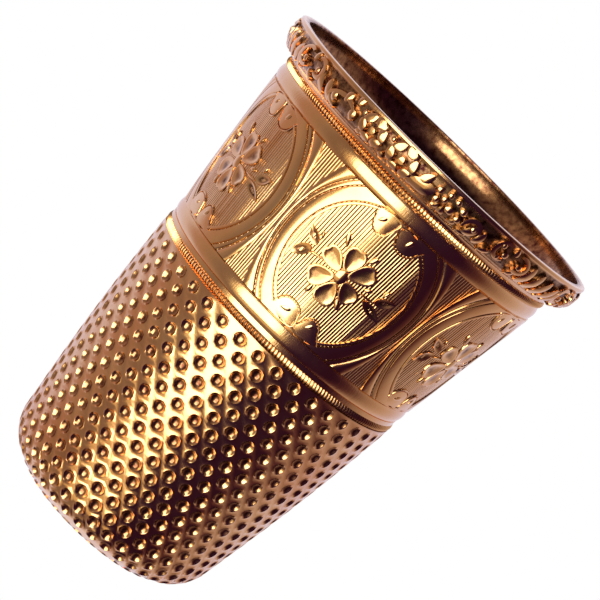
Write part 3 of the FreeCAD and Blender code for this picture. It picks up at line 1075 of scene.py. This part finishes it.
def make_camera():
    """Set the camera below the mouth plane, level with the mouth and rolled to one side."""
    distance = 110.9 * MM
    drop = 8.46 * MM
    pitch = math.radians(9.44)
    roll = math.radians(44.4)
    data = bpy.data.cameras.new("camera")
    data.sensor_width = 36.0
    data.lens = 140.0
    data.clip_start = 0.005
    camera = bpy.data.objects.new("camera", data)
    bpy.context.scene.collection.objects.link(camera)
    forward = Vector((0, math.cos(pitch), math.sin(pitch)))
    up = Vector((0, math.sin(pitch), -math.cos(pitch)))
    right = forward.cross(up)
    rolled_up = up * math.cos(roll) - right * math.sin(roll)
    rolled_right = forward.cross(rolled_up)
    turn = Matrix((rolled_right, rolled_up, -forward)).transposed()
    camera.matrix_world = Matrix.Translation((0, -distance, -drop)) @ turn.to_4x4()
    bpy.context.scene.camera = camera


def make_world():
    """Surround the object with a room: brown to the left, dark to the right, pale behind.

    The camera itself sees plain white behind the object.
    """
    world = bpy.data.worlds.new("studio")
    bpy.context.scene.world = world
    world.use_nodes = True
    tree = world.node_tree
    way = add_node(tree, "ShaderNodeTexCoord").outputs["Generated"]
    facing = add_node(tree, "ShaderNodeVectorMath", {0: way, 1: (-1, -1, 1)},
                      operation="MULTIPLY")
    parts = add_node(tree, "ShaderNodeSeparateXYZ", {0: facing.outputs[0]}).outputs
    turn = add_node(tree, "ShaderNodeMath", {0: parts["X"], 1: parts["Y"]}, operation="ARCTAN2")
    share = add_node(tree, "ShaderNodeMapRange", {"Value": turn.outputs[0]},
                     From_Min=-math.pi, From_Max=math.pi)
    walls = add_node(tree, "ShaderNodeValToRGB", {"Fac": share.outputs[0]}, stops=[
        ((turn + 180) / 360, linear(colour)) for turn, colour in STUDIO_WALLS])
    rise = add_node(tree, "ShaderNodeMapRange", {"Value": parts["Z"]},
                    From_Min=-1.0, From_Max=1.0)
    level = add_node(tree, "ShaderNodeValToRGB", {"Fac": rise.outputs[0]}, stops=[
        ((height + 1) / 2, (share, share, share, 1)) for height, share in STUDIO_LEVELS])
    ceiling = add_node(tree, "ShaderNodeValToRGB", {"Fac": rise.outputs[0]}, stops=[
        ((height + 1) / 2, linear(colour)) for height, colour in STUDIO_ENDS])
    room = add_node(tree, "ShaderNodeMix", {
        "Factor": level.outputs["Color"], "A": ceiling.outputs["Color"],
        "B": walls.outputs["Color"]}, data_type="RGBA")
    seen = add_node(tree, "ShaderNodeLightPath").outputs["Is Camera Ray"]
    both = add_node(tree, "ShaderNodeMix", {
        "Factor": seen, "A": room.outputs["Result"], "B": (1, 1, 1, 1)}, data_type="RGBA")
    tree.links.new(both.outputs["Result"], tree.nodes["Background"].inputs["Color"])
    tree.nodes["Background"].inputs["Strength"].default_value = 1.0


STUDIO_WALLS = [        # turn in degrees, and the wall's colour there
    (-180, "#F0ECFF"), (-140, "#E1DDFF"), (-120, "#DAD4F2"), (-100, "#B5938E"), (-80, "#A68E81"),
    (-60, "#8A7770"), (4, "#89766B"), (16, "#573E50"), (28, "#2D1639"), (62, "#2F122D"),
    (78, "#5C3A42"), (98, "#A48E8A"), (120, "#C9B7BC"), (140, "#D8D1EF"), (180, "#F0ECFF"),
]
STUDIO_LEVELS = [       # height from straight down at -1 to straight up at 1, and share of wall
    (-0.95, 0.0), (-0.70, 1.0), (0.92, 1.0), (1.0, 0.3),
]
STUDIO_ENDS = [         # the same, and the colour of the floor and the ceiling
    (-1.0, "#26142C"), (-0.5, "#4A3440"), (0.5, "#806C6C"), (1.0, "#988888"),
]
TARGET = Vector((0, 0, 12.5 * MM))


def make_softbox(name, turn, rise, distance, width, height, power, colour):
    """Hang a softbox that faces the object from a turn and a rise in degrees."""
    turn, rise = math.radians(turn), math.radians(rise)
    data = bpy.data.lights.new(name, "AREA")
    data.shape = "RECTANGLE"
    data.size = width
    data.size_y = height
    data.energy = power
    data.color = linear(colour)[:3]
    lamp = bpy.data.objects.new(name, data)
    bpy.context.scene.collection.objects.link(lamp)
    away = at(math.cos(rise), turn, math.sin(rise))
    lamp.matrix_world = Matrix.Translation(TARGET + away * distance) @ \
        away.to_track_quat("Z", "Y").to_matrix().to_4x4()
    lamp.visible_camera = False


def make_floor():
    """Lay a pale matt floor that shows only from above, and blocks no light from below."""
    bm = bmesh.new()
    bmesh.ops.create_grid(bm, x_segments=1, y_segments=1, size=0.6)
    mesh = bpy.data.meshes.new("floor")
    bm.to_mesh(mesh)
    bm.free()
    floor = bpy.data.objects.new("floor", mesh)
    bpy.context.scene.collection.objects.link(floor)
    material = bpy.data.materials.new("matt_paper")
    material.use_nodes = True
    tree = material.node_tree
    shader = tree.nodes["Principled BSDF"]
    place = add_node(tree, "ShaderNodeTexCoord").outputs["Object"]
    fibres = add_node(tree, "ShaderNodeTexNoise", {"Vector": place}, Scale=900.0, Detail=4.0)
    tint = add_node(tree, "ShaderNodeValToRGB", {"Fac": fibres.outputs["Fac"]},
                    stops=[(0.3, linear("#E4E1DD")), (0.7, linear("#EAE8E5"))])
    tree.links.new(tint.outputs["Color"], shader.inputs["Base Color"])
    shader.inputs["Roughness"].default_value = 0.8
    below = add_node(tree, "ShaderNodeNewGeometry").outputs["Backfacing"]
    clear = add_node(tree, "ShaderNodeBsdfTransparent")
    mixed = add_node(tree, "ShaderNodeMixShader", {0: below, 1: shader.outputs[0],
                                                   2: clear.outputs[0]})
    tree.links.new(mixed.outputs[0], tree.nodes["Material Output"].inputs["Surface"])
    mesh.materials.append(material)
    floor.visible_glossy = False
    floor.visible_diffuse = False
    floor.visible_shadow = False
    floor.visible_transmission = False


bpy.context.scene.view_settings.view_transform = "Standard"
make_camera()
make_world()
make_floor()
make_softbox("key", turn=-15.5, rise=-1.5, distance=0.30, width=0.225, height=0.38, power=0.90,
             colour="#FFFBEF")
make_softbox("glow", turn=-17, rise=8, distance=0.34, width=0.34, height=0.66, power=0.38,
             colour="#FFE8A4")
knurled = dimpled_gold()
burnished = polished_gold()
make_tube(knurled)
make_crown(knurled)
make_lip(burnished)
make_collar(chased_gold())
make_milled_wire("rim_teeth", "rim_milled_wire", COLLAR_TOP, RIM_WIRE_TOP, RIM_WIRE, RIM_TEETH,
                 burnished)
make_bead("rim_half_round", "rim_bead", RIM_WIRE_TOP, RIM_BEAD_TOP, RIM_BEAD, burnished)
make_band(engraved_gold())
make_bead("waist_half_round", "waist_bead", BAND_TOP, WAIST_SHELF, WAIST_BEAD, burnished,
          [(WAIST_SHELF_RADIUS, WAIST_SHELF), (WAIST_SHELF_RADIUS, WAIST_BEAD_TOP)])
make_milled_wire("waist_teeth", "waist_milled_wire", WAIST_BEAD_TOP, WALL_FOOT, WAIST_WIRE,
                 WAIST_TEETH, burnished)
